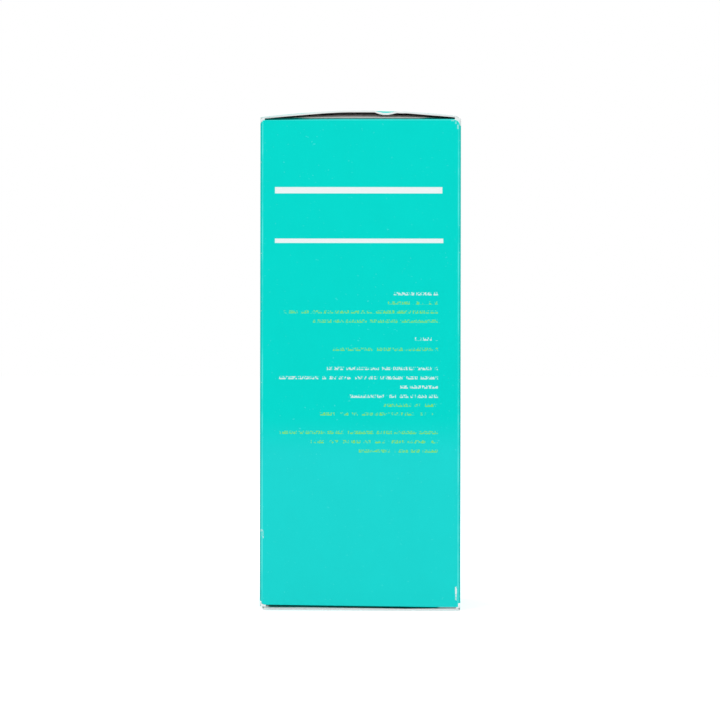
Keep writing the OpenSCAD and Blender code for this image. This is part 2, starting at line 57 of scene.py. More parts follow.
# heights: outer faces of the dust flaps at their creases, ends of the front panel, its middle, top hinge
FLAP_LOW, FLAP_TOP = 0.95, 151.88
END_LOW, END_TOP = 1.15, 151.68
MIDDLE = 76
HINGE = 152.38
TUCK_X = 30.3999
TUCK_TOP = 152.73
TUCK_BEND = 42.0
LID_HALF = 30.5
SLIT_Y = 23.6
# the top lid's bow: radius, and its middle across and up, under the highest point
APEX = 154.379
BOW_R = 259.842
BOW_X = 1.17079
BOW_Z = APEX - BOW_R
GLUE = 0.1
SEAM_FACE = HALF_D - BOARD - GLUE
CAP_FOOT, CAP_TOP = 127.3, 144.9
STAND, LIP = 1.6, 142.6
LABEL_R = 27.23
# distance under which points are joined
MERGE = 1e-4

# The photograph: its width in pixels, the millimetres in a pixel on the front panel, the column of the
# front's middle, and the row and height that the camera looks along
PICTURE = 720
PIXEL = 0.3087
MIDDLE_COLUMN = 360.4
EYE_ROW, EYE_Z = 360, 77.28


def srgb(r, g, b):
    """A colour read off a screen, as the linear colour that a shader takes."""
    def lin(c):
        c /= 255
        return c / 12.92 if c <= 0.04045 else ((c + 0.055) / 1.055) ** 2.4
    return (lin(r), lin(g), lin(b), 1.0)


class Term:
    """A number in a shader. Python's operators add the Math nodes."""

    def __init__(self, paint, socket):
        self.paint = paint
        self.socket = socket

    def math(self, operation, *rest, first=None):
        values = [self, *rest] if first is None else [first, self, *rest]
        return self.paint.node("ShaderNodeMath", {"operation": operation}, dict(enumerate(values)))

    def __add__(self, other):
        return self.math("ADD", other)

    __radd__ = __add__

    def __sub__(self, other):
        return self.math("SUBTRACT", other)

    def __rsub__(self, other):
        return self.math("SUBTRACT", first=other)

    def __mul__(self, other):
        return self.math("MULTIPLY", other)

    __rmul__ = __mul__

    def __truediv__(self, other):
        return self.math("DIVIDE", other)

    def __pow__(self, other):
        return self.math("POWER", other)

    def __neg__(self):
        return self.math("MULTIPLY", -1)

    def __gt__(self, other):
        return self.math("GREATER_THAN", other)

    def __lt__(self, other):
        return self.math("LESS_THAN", other)

    def __abs__(self):
        return self.math("ABSOLUTE")

    def most(self, other):
        return self.math("MAXIMUM", other)

    def least(self, other):
        return self.math("MINIMUM", other)

    def root(self):
        return self.math("SQRT")

    def floor(self):
        return self.math("FLOOR")

    def clip(self):
        return self.most(0).least(1)

    def ease(self, low, high):
        """0 at low and 1 at high, with soft ends; low may be the larger one."""
        return self.paint.node("ShaderNodeMapRange", {"interpolation_type": "SMOOTHSTEP"},
                               {"Value": self, "From Min": low, "From Max": high})

    def band(self, centre, half, soft):
        """1 within half of centre, falling to 0 over soft."""
        return abs(self - centre).ease(half + soft, half)


class Paint:
    """A material under construction, on one Principled shader."""

    def __init__(self, name, **constants):
        self.material = bpy.data.materials.new(name)
        self.material.use_nodes = True
        self.tree = self.material.node_tree
        self.shader = self.tree.nodes["Principled BSDF"]
        self.set(**constants)
        place = self.node("ShaderNodeTexCoord", {}, {}, out="Object")
        self.at = self.node("ShaderNodeVectorMath", {"operation": "SCALE"}, {0: place, "Scale": 1 / MM})
        parts = self.node("ShaderNodeSeparateXYZ", {}, {0: self.at})
        self.x, self.y, self.z = (Term(self, parts.socket.node.outputs[i]) for i in range(3))

    def set(self, **sockets):
        """Values or terms onto the shader's sockets, spaces in their names as underscores."""
        for key, value in sockets.items():
            self.feed(self.shader, key.replace("_", " "), value)

    def feed(self, node, key, value):
        if isinstance(value, Term):
            self.tree.links.new(value.socket, node.inputs[key])
        elif node.inputs[key].type == "VECTOR":
            node.inputs[key].default_value = value[:3]
        else:
            node.inputs[key].default_value = value

    def node(self, kind, settings, inputs, out=0):
        """A node with its settings, then values or terms on its sockets, as the term of one output."""
        node = self.tree.nodes.new(kind)
        for key, value in settings.items():
            setattr(node, key, value)
        for key, value in inputs.items():
            self.feed(node, key, value)
        return Term(self, node.outputs[out])

    def noise(self, scale, detail=2.0, roughness=0.5, vector=None):
        """Noise with the given number of waves in a millimetre."""
        inputs = {"Vector": vector or self.at, "Scale": scale, "Detail": detail, "Roughness": roughness}
        return self.node("ShaderNodeTexNoise", {}, inputs, out="Fac")

    def stretched(self, sx, sy, sz):
        """The place with its three axes scaled, for a pattern with a grain."""
        return self.node("ShaderNodeVectorMath", {"operation": "MULTIPLY"}, {0: self.at, 1: (sx, sy, sz)})

    def mix(self, factor, a, b):
        return self.node("ShaderNodeMix", {"data_type": "RGBA"}, {0: factor, 6: a, 7: b}, out=2)

    def shade(self, colour, factor):
        """The colour times a number."""
        return self.node("ShaderNodeVectorMath", {"operation": "SCALE"}, {0: colour, "Scale": factor})

    def bump(self, height, distance, strength=1.0, normal=None):
        inputs = {"Height": height, "Distance": distance * MM, "Strength": strength}
        if normal is not None:
            inputs["Normal"] = normal
        return self.node("ShaderNodeBump", {}, inputs)


def total(terms):
    """The sum of some terms."""
    first, *rest = terms
    for term in rest:
        first = first + term
    return first


def clamp(value):
    """A plain number kept between 0 and 1."""
    return min(1.0, max(0.0, value))


# Board

TEAL = srgb(0, 220, 207)
TEAL_LOW = srgb(28, 219, 213)
# colours of painted shade: on the upright creases, over the top dust flaps' creases, and in the gaps at the
# bottom lid
TEAL_CREASE_SHADE = srgb(8, 170, 160)
TEAL_FLAP_SHADE = srgb(6, 144, 135)
TEAL_GAP_SHADE = srgb(6, 96, 90)
# pale specks in the print, and painted highlights
TEAL_SPECK_AND_HIGHLIGHT = srgb(96, 240, 232)
RAW = srgb(242, 247, 246)
RAW_PALE = srgb(252, 253, 252)
RAW_CORE = srgb(222, 227, 225)
LINING = srgb(226, 222, 217)
COATED = srgb(232, 230, 230)
INK_WHITE = srgb(249, 249, 249)
INK_LIME = srgb(146, 228, 56)


def across(px):
    """Millimetres across the front for a column of the photograph."""
    return (px - MIDDLE_COLUMN) * PIXEL


def up(px):
    """Height in millimetres for a row of the photograph."""
    return EYE_Z + (EYE_ROW - px) * PIXEL


# Print, in pixels of the photograph: left, right, top and bottom of the heading's bars, then the row and
# the left end of each line of small print, and the column where all the lines begin at the right
HEADING_BARS = ((275, 442, 187.3, 193.2), (275, 443, 238.8, 242.8))
WHITE_ROWS = ((293.8, 393.5), (339, 415), (368.5, 327), (377.8, 279), (387, 400), (396.3, 349))
LIME_ROWS = ((303, 388), (312, 279.5), (321.2, 313), (349.3, 333), (405.2, 384), (414, 319.5),
             (432.5, 279.5), (441.8, 311), (451, 359))
PRINT_RIGHT = 438


def front_marks(p):
    """Generic print on the front: plain bars for the heading and broken lines for small print."""
    front = p.y < 0.05 - HALF_D

    def bar(left, right, top, bottom):
        wide = p.x.band(across((left + right) / 2), (across(right) - across(left)) / 2, 0.12)
        return wide * p.z.band(up((top + bottom) / 2), (up(top) - up(bottom)) / 2, 0.12)

    # greeked lines: a broken thin foot with uneven ticks over it, parted into words by wider gaps
    row_seed = (p.z * 0.36).floor() * 7.31

    def along(pitch, tilt=0.0):
        return p.noise(1.0, 1.0, 0.5, vector=p.node("ShaderNodeCombineXYZ", {}, {
            0: p.x * pitch, 1: p.z * tilt, 2: row_seed}))

    words = along(0.55).ease(0.4, 0.44)
    ticks = words * along(2.9, 1.6).ease(0.5, 0.6)
    foot = words * along(1.3).ease(0.43, 0.55)

    def line(row, left):
        low = p.z.band(up(row + 0.9), 0.1, 0.16) * foot
        high = p.z.band(up(row - 0.2), 0.34, 0.16) * ticks
        return low.most(high) * (p.x > across(left))

    def rows(lines):
        return total([line(*each) for each in lines]) * (p.x < across(PRINT_RIGHT))

    return front, total([bar(*each) for each in HEADING_BARS]), rows(WHITE_ROWS), rows(LIME_ROWS)


def corner(p, cx, cz, r):
    """Distance from a rounded corner's edge, inwards; away from the corner it is large."""
    far = 400
    side, level = math.copysign(1, cx), math.copysign(1, cz - MIDDLE)
    dx, dz = (p.x - cx) * side, (p.z - cz) * level
    return r - (dx * dx + dz * dz).root() + far * (dx < 0).most(dz < 0)


def board(name, depth, low=None, top=None, marks=False, fold=None, bleed=None, worn=None, gap_shade=None,
          core=0.5, film=0.03, raw=RAW):
    """Carton board. depth gives millimetres below the printed face; low and top are the heights of its
    level creases, and under top a painted highlight runs along the crease; marks adds the front's print;
    fold gives the distance from the nearest upright crease, for a painted highlight beside it, painted
    shade on it and chips along it; bleed limits the print, and worn adds places where it has rubbed off.
    The gap shade mask gives where dark teal is painted on as shade, in a narrow gap beside other board. raw
    is the colour of a cut edge, core is how much darker the middle of that edge is, and film is the
    thickness of the print."""
    p = Paint(name, IOR=1.45, Specular_IOR_Level=0.06)
    into = depth(p)
    # the print goes round the creases' own rounding
    for level in (None if low is None else p.z - low, None if top is None else top - p.z):
        if level is not None:
            into = into - (FOLD_R - level).most(0)
    printed = into.ease(film, film * 0.4)
    cut = into.ease(film * 0.4, film) * into.ease(BOARD - 0.02, BOARD - 0.05)
    if bleed is not None:
        printed = printed * bleed(p)

    cloud = p.noise(0.09, 3.0, 0.55)
    grain = p.noise(3.2, 2.0, 0.6)
    speck = p.noise(1.4, 1.0, 0.5)
    # the teal is a little paler in the lower third
    teal = p.mix(p.z.ease(61, 47), TEAL, TEAL_LOW)
    teal = p.shade(teal, 0.972 + 0.05 * cloud + 0.02 * grain)
    # pale dust specks in the print
    teal = p.mix(speck.ease(0.735, 0.79) * 0.35, teal, TEAL_SPECK_AND_HIGHLIGHT)
    if fold is not None:
        away = fold(p)
        # painted highlight on the score line beside an upright crease, and painted shade on the crease
        # itself
        crease_highlight = away.band(0.72, 0.12, 0.16) * (0.15 + 0.6 * p.noise(0.05, 3.0, 0.7).ease(0.42, 0.62))
        teal = p.mix(away.ease(0.5, 0.25) * 0.75, teal, TEAL_CREASE_SHADE)
        teal = p.mix(crease_highlight, teal, TEAL_SPECK_AND_HIGHLIGHT)
    # painted highlight just under the top crease, where its rounding faces up
    if top is not None:
        teal = p.mix((top - p.z).band(0.2, 0.13, 0.12) * 0.5, teal, TEAL_SPECK_AND_HIGHLIGHT)

    if marks:
        front, heading, white_print, lime_print = front_marks(p)
        ragged = 0.9 + 0.1 * grain
        teal = p.mix((front * heading * ragged).clip(), teal, INK_WHITE)
        teal = p.mix((front * white_print * 0.72).clip(), teal, INK_WHITE)
        teal = p.mix((front * lime_print * 0.78).clip(), teal, INK_LIME)

    # where the coat has chipped off a crease or a corner, the white board shows
    if fold is not None:
        chipped = away.ease(0.75, 0.1) * p.noise(1.1, 3.0, 0.65).ease(0.66, 0.7)
        teal = p.mix(chipped.clip() * 0.9, teal, RAW)
    if worn is not None:
        teal = p.mix(worn(p).clip(), teal, RAW)

    fibre = p.noise(1.0, 4.0, 0.65, vector=p.stretched(2.5, 2.5, 0.7))
    raw_edge = p.mix(into.band(BOARD / 2, 0.07, 0.09) * (0.35 + fibre) * core, raw, RAW_CORE)
    plain = p.shade(COATED, 0.95 + 0.09 * fibre)
    inner = p.shade(LINING, 0.93 + 0.12 * fibre)
    colour = p.mix(into.ease(0.03, BOARD - 0.03), plain, inner)
    colour = p.mix(cut, colour, raw_edge)
    colour = p.mix(printed, colour, teal)
    # painted shade: dark teal where the board lies in a narrow gap
    if gap_shade is not None:
        colour = p.mix(gap_shade(p, into), colour, TEAL_GAP_SHADE)
    gloss = 0.86 - 0.42 * printed + 0.06 * grain
    relief = p.bump(fibre, 0.05, 0.35)
    relief = p.bump(p.noise(0.055, 2.0, 0.5) * 6 + grain * 0.12, 0.09, 0.22, normal=relief)
    p.set(Base_Color=colour, Roughness=gloss, Normal=relief)
    return p.material


# Chips in the front's print, and after them three painted highlights by the top right corner: middle and
# half size, across and up, and strength
CHIPS_AND_HIGHLIGHTS = (
    (across(262.1), up(530.6), 0.34, 0.3, 0.36),
    (across(262.9), up(533.8), 0.3, 0.7, 0.16),
    (across(263.4), up(537.2), 0.12, 0.3, 0.5),
    (across(456.4), up(590.2), 0.2, 1.05, 1.0),
    (across(456.4), up(597), 0.15, 0.85, 0.75),
    # painted highlights by the top right corner, in the board's white
    (across(452.4), up(120.4), 0.4, 0.14, 0.26),
    (across(455.7), up(122.6), 0.2, 0.3, 0.22),
    (across(457.7), up(126.8), 0.18, 0.6, 0.3),
)


# How the foot of the front sinks towards the right: from where, over what width, and how far
SINK_FROM = 12
SINK_OVER = 12
SINK = 0.2


def front_wear(p):
    """Chips in the front's print, painted highlights by its top right corner, and the pale edge round its
    corners.
    """
    grain = p.noise(2.4, 2.0, 0.6)
    rough = 0.1 * (grain - 0.5)
    right_r, left_r = 2, 1.3
    rim = (corner(p, HALF_W - right_r, END_TOP - right_r, right_r) + rough).ease(0.4, 0.25) * 0.85
    left = corner(p, left_r - HALF_W, END_TOP - left_r, left_r)
    rim = rim.most((left + rough).ease(0.32, 0.15) * 0.7)
    # the foot's edge sinks with the board towards the right, and curls up in the corner
    curl = (p.x - 26.5).most(0) ** 2 * 0.014 + ((p.x - 29.7).most(0) / 1.3) ** 3 * 0.9
    curl = curl - ((p.x - SINK_FROM) / SINK_OVER).clip() * SINK
    rim = rim.most((p.z - END_LOW - curl + 0.5 * rough).ease(0.02, -0.14))
    ragged = grain.ease(0.36, 0.44)
    for cx, cz, half_x, half_z, strength in CHIPS_AND_HIGHLIGHTS:
        rim = rim.most(p.x.band(cx, half_x, 0.14) * p.z.band(cz, half_z, 0.16) * ragged * strength)
    return rim * (p.y < 1 - HALF_D)


def creased_depth(x, y, face_x, face_y):
    """Depth below two upright faces and the rounded crease between them."""
    qx = x - (face_x - CREASE_R)
    qy = y - (face_y - CREASE_R)
    outer = (qx.most(0) * qx.most(0) + qy.most(0) * qy.most(0)).root() + qx.most(qy).least(0)
    return CREASE_R - outer


def shell_depth(p):
    """Depth below the outer faces and upright creases of the four panels."""
    return creased_depth(abs(p.x), abs(p.y), HALF_W, HALF_D)


def seam_depth(p):
    """Depth below the outer faces of the flap that is glued behind the back panel."""
    return creased_depth(p.x, p.y, HALF_W, SEAM_FACE)


def shell_fold(p):
    """Distance from the middle of the nearest upright crease, along the faces."""
    return (HALF_W - abs(p.x)).most(HALF_D - abs(p.y))


def tuck_depth(side, top):
    """Depth below the curved face of a tuck flap: side is 1 for the top one, -1 for the bottom one."""
    def depth(p):
        dx = side * p.x - (TUCK_X - TUCK_BEND)
        dz = side * (p.z - top)
        return TUCK_BEND - (dx * dx + dz * dz).root()
    return depth


def stored_depth(p):
    """Depth kept with the points of a piece made here."""
    return p.node("ShaderNodeAttribute", {"attribute_name": "depth"}, {}, out="Fac")


def dress(node, material):
    """A material on a node of the frame."""
    mesh = nodes[node].data
    mesh.materials.clear()
    mesh.materials.append(material)


def into_flap(p):
    """Distance along a dust flap from its crease."""
    return HALF_D - abs(p.y)


def flap_gap_shade(p, into):
    """Painted shade: dark teal on the bottom dust flaps beside their creases, in the gap over the bottom
    lid.
    """
    return into_flap(p).ease(1.6, 1.0) * p.x.band(-2, 25.6, 1.6)


dress("back_panel", board("back board", shell_depth, END_LOW, END_TOP, fold=shell_fold))
dress("left_panel", board("left board", shell_depth, top=HINGE - PLY * 2, fold=shell_fold))
dress("right_panel", board("right board", shell_depth, low=PLY * 2, fold=shell_fold))
dress("glue_flap", board("seam board", seam_depth, bleed=lambda p: p.x.ease(29.4, 29.9)))
dress("top_tuck_flap", board("top tuck board", tuck_depth(1, TUCK_TOP)))
dress("bottom_tuck_flap", board("bottom tuck board", tuck_depth(-1, 0.0)))
bottom_flap = board("bottom flap board", lambda p: p.z - FLAP_LOW,
                    bleed=lambda p: into_flap(p).ease(6.2, 5.9), gap_shade=flap_gap_shade)
dress("bottom_front_dust_flap", bottom_flap)
dress("bottom_back_dust_flap", bottom_flap)


def flap_paint():
    """Top dust flap: uncoated white, with painted shade: a grey band a few millimetres from its crease, and
    dark teal print over the crease and the ply's edge that reaches further and is darker towards the ends.
    """
    p = Paint("top flap lining", IOR=1.45, Specular_IOR_Level=0.06)
    into = into_flap(p)
    fibre = p.noise(1.0, 4.0, 0.65, vector=p.stretched(0.8, 2.4, 2.4))
    # painted shade: a grey band a few millimetres from the crease, where the lid overhangs the flap
    shaded = into.band(3.6, 1.4, 4.2)
    white = p.shade(p.mix(p.noise(0.2, 2.0), COATED, LINING), 0.96 + 0.09 * fibre - 0.34 * shaded)
    # dark teal print over the crease and the ply's edge, painted darker as shade and reaching further
    # towards both ends
    ends = abs(p.x - 0.8).ease(16, 24)
    reach = (0.3 + 1.9 * ends) * p.x.ease(-29.2, -28.3) + 0.25 * (p.noise(1.7, 2.0) - 0.5)
    ink_and_shade_share = (reach - into).ease(0, 0.12).most((into < 1) * (p.z < FLAP_TOP - 0.02))
    ink = p.shade(TEAL_FLAP_SHADE, 1 - 0.6 * ends)
    p.set(Base_Color=p.mix(ink_and_shade_share, white, ink), Roughness=0.86 - 0.3 * ink_and_shade_share,
          Normal=p.bump(fibre, 0.05, 0.4))
    return p.material


top_flap = flap_paint()
dress("top_front_dust_flap", top_flap)
dress("top_back_dust_flap", top_flap)


# Pieces made here

def finish_piece(bm, name, body, material, replaces=(), smooth=True):
    """A bmesh as a piece of the scene, in millimetres until now."""
    bmesh.ops.scale(bm, vec=(MM, MM, MM), verts=bm.verts)
    mesh = bpy.data.meshes.new(name)
    for face in bm.faces:
        face.smooth = smooth
    bm.to_mesh(mesh)
    bm.free()
    piece = bpy.data.objects.new(name, mesh)
    bpy.context.scene.collection.objects.link(piece)
    mesh.materials.append(material)
    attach(piece, body)
    if replaces:
        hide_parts(*replaces)
    return piece


def merged_copy(node):
    """A node's mesh as a bmesh in millimetres, its loose triangles joined."""
    bm = bmesh.new()
    bm.from_mesh(nodes[node].data)
    bmesh.ops.scale(bm, vec=(1 / MM, 1 / MM, 1 / MM), verts=bm.verts)
    bmesh.ops.remove_doubles(bm, verts=bm.verts, dist=MERGE)
    return bm


def cut_at(bm, axis, places):
    """Cuts through a bmesh, square to an axis."""
    for place in places:
        geom = [*bm.verts, *bm.edges, *bm.faces]
        bmesh.ops.bisect_plane(bm, geom=geom, plane_co=[place * part for part in axis], plane_no=axis)


def points(result):
    """The vertices that an operator gives back."""
    return [v for v in result["geom"] if isinstance(v, bmesh.types.BMVert)]


def flat_lid(free_r, hinge_r):
    """A lid's board hinged at -X, its printed face up at height 0, as a bmesh that keeps the depths.
    free_r and hinge_r round its corners."""
    bm = bmesh.new()
    free = TUCK_X - ROOT
    outline = [(-HALF_W, -LID_HALF), (free, -LID_HALF), (free, -SLIT_Y), (TUCK_X, -SLIT_Y),
               (TUCK_X, SLIT_Y), (free, SLIT_Y), (free, LID_HALF), (-HALF_W, LID_HALF)]
    face = bm.faces.new([bm.verts.new((x, y, 0)) for x, y in outline])
    for side, r in ((1, free_r), (-1, hinge_r)):
        corners = [v for v in bm.verts if abs(v.co.y) > LID_HALF - 0.01 and v.co.x * side > free - 0.01]
        bmesh.ops.bevel(bm, geom=corners, offset=r, segments=6, profile=0.5, affect="VERTICES", material=-1)
    # close cuts across for the bow, and closer ones near the front edge for its wear
    cut_at(bm, (1, 0, 0), [-HALF_W + ROOT, free] + [x * 1.4 for x in range(-21, 22)])
    cut_at(bm, (0, 1, 0), (-30.2, -29.8, -29.2, -28.2, -26.5, -24.5, -18, -9, 0, 9, 18, 24.5, 28.2, 29.8))
    bmesh.ops.remove_doubles(bm, verts=bm.verts, dist=MERGE)
    # the outer ply, then the thickness of the board between the two creases
    bottom = bmesh.ops.extrude_face_region(bm, geom=list(bm.faces), use_keep_orig=True)
    bmesh.ops.translate(bm, vec=(0, 0, -PLY), verts=points(bottom))
    bm.normal_update()
    under = [f for f in bottom["geom"] if isinstance(f, bmesh.types.BMFace)
             and -HALF_W + ROOT < f.calc_center_median().x < free]
    thick = bmesh.ops.extrude_face_region(bm, geom=under)
    bmesh.ops.delete(bm, geom=under, context="FACES_ONLY")
    bmesh.ops.translate(bm, vec=(0, 0, PLY - BOARD), verts=points(thick))
    bmesh.ops.remove_doubles(bm, verts=bm.verts, dist=MERGE)
    bmesh.ops.recalc_face_normals(bm, faces=bm.faces)
    depth = bm.verts.layers.float.new("depth")
    for v in bm.verts:
        v[depth] = -v.co.z
    return bm


def front_share(y):
    """1 at the front edge of a lid, falling to 0 a few millimetres in."""
    worn_width = 3.2
    return max(0.0, 1 - (y + LID_HALF) / worn_width) ** 2


# The knock in the top lid's front edge and the small one beside it, from and to, across
KNOCK = (across(375), across(395.5))
NICK = (across(396), across(402.5))


def hump(x, low, high):
    """A soft hump between low and high, 1 in the middle."""
    if not low < x < high:
        return 0.0
    return math.sin(math.pi * (x - low) / (high - low)) ** 0.7


def knock_wear(p):
    """Pale board where the knocked front edge has split."""
    split = total([p.x.band((low + high) / 2, (high - low) / 2 - 0.4, 0.5) * reach
                   for low, high, reach in ((*KNOCK, 0.42), (*NICK, 0.3))])
    ragged = p.y + LID_HALF + 0.16 * (p.noise(1.9, 2.0, 0.6) - 0.5)
    return (split - ragged).ease(0, 0.1)


def lid_board():
    """The top lid: bowed, with a knock in its swollen front edge that shows the print from the front."""
    bm = flat_lid(0.7, 1.2)
    for v in bm.verts:
        x, y, into = v.co.x, v.co.y, v.co.z
        lean = math.asin((x - BOW_X) / BOW_R)
        v.co.x = BOW_X + (BOW_R + into) * math.sin(lean)
        v.co.z = BOW_Z + (BOW_R + into) * math.cos(lean)
        # the front edge: two knocks, a sag towards both ends, a slight wave, and swollen under it
        near = front_share(y)
        knock = 0.8 * hump(x, *KNOCK) + 0.2 * hump(x, *NICK)
        sag = 0.04 + 0.22 * clamp(-(x + 6) / 14) + 0.12 * clamp((x - 12) / 8)
        wave = 0.03 * math.sin(x * 0.33 + 0.8)
        v.co.z -= (knock + sag + wave - 0.4 * into * max(0.0, near - 0.6)) * near
        v.co.y += 0.12 * knock * near
    look = board("top lid board", stored_depth, worn=knock_wear, film=0.016)
    return finish_piece(bm, "top_lid_board", "top_lid", look, ("top_lid",), smooth=False)


lid_board()


def foot_rise(x):
    """How far the front's foot climbs to the left, where the lid is tucked in; to the right it sinks."""
    return 0.47 * clamp((12 - x) / 40) - SINK * clamp((x - SINK_FROM) / SINK_OVER)


def front_board():
    """The front panel, with the uneven ends of the one photographed."""
    bm = merged_copy("front_panel")
    bmesh.ops.dissolve_limit(bm, angle_limit=0.001, verts=bm.verts, edges=bm.edges)
    cut_at(bm, (1, 0, 0), (-27, -22, -17, -12, -4, 4, 12, 18, 24))
    bmesh.ops.triangulate(bm, faces=bm.faces)
    bmesh.ops.recalc_face_normals(bm, faces=bm.faces)
    depth = bm.verts.layers.float.new("depth")
    for v in bm.verts:
        x = v.co.x
        qx, qy = abs(x) - HALF_W + CREASE_R, CREASE_R - HALF_D - v.co.y
        into = CREASE_R - math.hypot(max(qx, 0), max(qy, 0)) - min(max(qx, qy), 0)
        v[depth] = into - max(0, FOLD_R - min(v.co.z - END_LOW, END_TOP - v.co.z))
        if v.co.z < MIDDLE:
            v.co.z += foot_rise(x)
        else:
            v.co.z -= 0.3 * max(0.0, -(x + 10) / 20)
    look = board("front board", stored_depth, top=END_TOP, marks=True, fold=shell_fold, worn=front_wear)
    return finish_piece(bm, "front_board", "carton", look, ("front_panel",), smooth=False)


def lid_gap_shade(p, into):
    """Painted shade: dark teal on the inner face along the bottom lid's long edges, in the gap under the
    dust flaps.
    """
    return into.ease(BOARD - 0.05, BOARD - 0.01) * into_flap(p).ease(3.4, 1.6)


def foot_board():
    """The bottom lid, printed side down, with its front edge split and swollen, most at its two ends."""
    bm = flat_lid(0.5, 1.2)
    for v in bm.verts:
        v.co.x, v.co.z = -v.co.x, -v.co.z
        if v.co.z > 0.01:
            swollen = 0.12 + foot_rise(v.co.x) + 0.34 * clamp((v.co.x - 14) / 13)
            v.co.z += min(swollen, 0.46) * front_share(v.co.y)
    look = board("bottom lid board", stored_depth, gap_shade=lid_gap_shade, core=0.0, film=0.012, raw=RAW_PALE)
    return finish_piece(bm, "bottom_lid_board", "bottom_lid", look, ("bottom_lid",),
                        smooth=False)


# Boxes of crushed board at the front's corners, as their low and high corners: top left, top right,
# bottom right, and two at the bottom left
CRUSHED = (
    ((-HALF_W, -HALF_D + 0.02, 150.8), (-29.6, -30.56, 152.24)),
    ((29.1, -HALF_D + 0.04, 151.0), (HALF_W, -30.56, 152.3)),
    ((29.6, -HALF_D + 0.02, 0.5), (HALF_W, -30.56, 2.3)),
    ((0.1 - HALF_W, -HALF_D + 0.02, 1.55), (-30.4, -30.56, 2.8)),
    ((-30.7, -HALF_D + 0.03, 0.98), (-29.06, -30.57, 1.75)),
)


def crushed_corners():
    """Board that has been crushed pale where a crease or a mouth meets the front's corners."""
    bm = bmesh.new()
    for low, high in CRUSHED:
        made = bmesh.ops.create_cube(bm, size=1.0)["verts"]
        bmesh.ops.scale(bm, vec=[b - a for a, b in zip(low, high)], verts=made)
        bmesh.ops.translate(bm, vec=[(a + b) / 2 for a, b in zip(low, high)], verts=made)
        edges = {e for v in made for e in v.link_edges}
        bmesh.ops.bevel(bm, geom=list(edges), offset=0.18, segments=3, profile=0.5, affect="EDGES",
                        material=-1)
    # the outer ends are rubbed round, more so the further out
    for v in bm.verts:
        over = max(0.0, abs(v.co.x) - 30.1)
        v.co.z += over * over * (0.9 if v.co.z < 1.8 else -0.8 if v.co.z > 151.6 else 0)
    p = Paint("crushed board", Specular_IOR_Level=0.04)
    fibre = p.noise(3.0, 4.0, 0.7)
    pale = p.mix(p.z < MIDDLE, p.mix(fibre, RAW, RAW_CORE), RAW_PALE)
    p.set(Base_Color=pale, Roughness=0.9 + 0.05 * fibre, Normal=p.bump(fibre, 0.05, 0.4))
    return finish_piece(bm, "crushed_corners", "carton", p.material)


front_board()
foot_board()
crushed_corners()


# Bottle, closure and leaflet

def amber_paint():
    """Amber plastic, a little deeper where the foot is thick."""
    p = Paint("amber bottle", IOR=1.5, Transmission_Weight=0.82, Specular_IOR_Level=0.5)
    flow = p.noise(0.05, 2.0)
    base = p.mix(p.z.ease(STAND + 3, STAND), srgb(158, 84, 18), srgb(120, 60, 12))
    p.set(Base_Color=p.shade(base, 0.92 + 0.16 * flow), Roughness=0.06 + 0.07 * p.noise(0.6, 3.0),
          Normal=p.bump(flow * 3 + 0.1 * p.noise(1.2, 2.0), 0.15, 0.25))
    return p.material


def liquid_paint():
    """Brown mouthwash, a shade lighter towards its level."""
    p = Paint("mouthwash", IOR=1.34, Transmission_Weight=0.6)
    p.set(Base_Color=p.mix(p.z.ease(20, 90), srgb(96, 34, 8), srgb(128, 52, 12)),
          Roughness=0.03 + 0.02 * p.noise(0.1, 1.0))
    return p.material


def closure_paint(name, tone):
    """White moulded closure, with a faint grain and a gate mark in the middle of its top."""
    p = Paint(name, IOR=1.49, Specular_IOR_Level=0.4)
    grain = p.noise(5.0, 2.0, 0.6)
    reach = (p.x * p.x + p.y * p.y).root()
    top = p.z > CAP_TOP - 0.05
    rings = reach.band(11.2, 0.25, 0.3) * 0.8 - reach.band(0.0, 0.9, 0.4) * 0.9
    p.set(Base_Color=p.shade(tone, 0.965 + 0.04 * p.noise(0.15, 2.0) + 0.02 * grain),
          Roughness=0.34 + 0.14 * grain,
          Normal=p.bump(top * rings, 0.25, 0.8, normal=p.bump(grain, 0.02, 0.3)))
    return p.material


# The label's grey bars: height, half length and half thickness
LABEL_BARS = ((58, 17, 1.5), (51, 13, 0.8), (44, 18, 0.35), (42, 18, 0.35), (40, 15, 0.35),
              (36, 18, 0.35), (34, 11, 0.35))


def label_paint():
    """Label with generic blocks only: a teal band and a few grey bars."""
    p = Paint("label paper", IOR=1.45, Specular_IOR_Level=0.25)
    turn = p.node("ShaderNodeMath", {"operation": "ARCTAN2"}, {0: p.x, 1: -p.y}) * LABEL_R
    band = p.z.ease(71.5, 71.8)
    lines = total([p.z.band(height, half, 0.1) * abs(turn).ease(reach + 0.1, reach)
                   for height, reach, half in LABEL_BARS])
    fibre = p.noise(2.2, 3.0, 0.6)
    paper = p.shade(srgb(238, 241, 240), 0.96 + 0.05 * fibre)
    colour = p.mix(band, paper, TEAL)
    colour = p.mix(lines.clip() * 0.85, colour, srgb(70, 90, 96))
    p.set(Base_Color=colour, Roughness=0.42 + 0.1 * fibre, Normal=p.bump(fibre, 0.02, 0.4))
    return p.material


